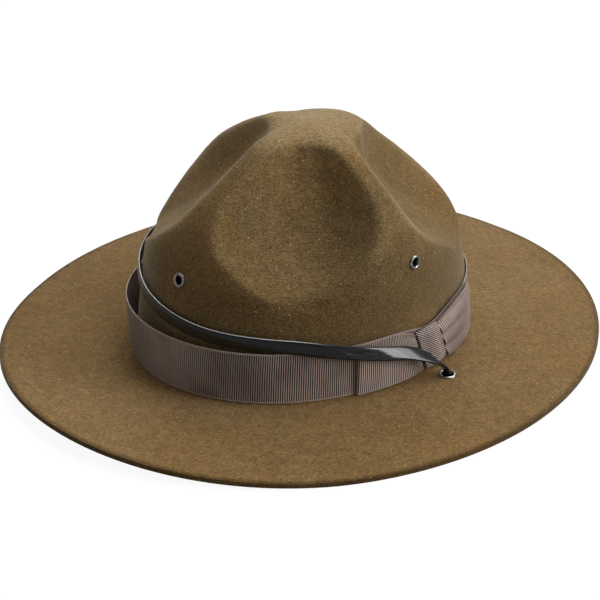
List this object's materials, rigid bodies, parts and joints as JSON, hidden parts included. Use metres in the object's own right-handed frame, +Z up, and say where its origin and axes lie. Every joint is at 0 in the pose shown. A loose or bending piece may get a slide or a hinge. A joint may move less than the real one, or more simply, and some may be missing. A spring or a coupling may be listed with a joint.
{
  "type": "campaign hat",
  "caption": "Stiff felt hat with a tall four-dent peaked crown, a wide flat brim, a ribbon band with a flat side bow, and a leather chin strap worn across the front.",
  "frame": {"origin": "middle of the brim's outline, on the surface that the brim rests on", "axes": "+Z up out of the crown, -Y towards the front of the hat, +X towards the wearer's left, where the bow is"},
  "size_m": [0.3186, 0.3644, 0.1336],
  "materials": {
    "felt": "matte stiffened fur felt with a fine nap",
    "ribbon": "ribbed ribbon with a slight sheen",
    "leather": "glossy black finish with fine creases",
    "metal": "dull pewter-coloured finish"
  },
  "bodies": {
    "root": {"felt_body": "felt", "hat_band": "ribbon", "bow_front_wing": "ribbon", "bow_knot": "ribbon", "bow_rear_wing": "ribbon", "front_vent": "metal", "left_vent": "metal", "back_vent": "metal", "right_vent": "metal", "brim_eyelet_left": "metal", "brim_eyelet_right": "metal", "chin_strap": "leather", "strap_slide": "metal"}
  },
  "joints": []
}
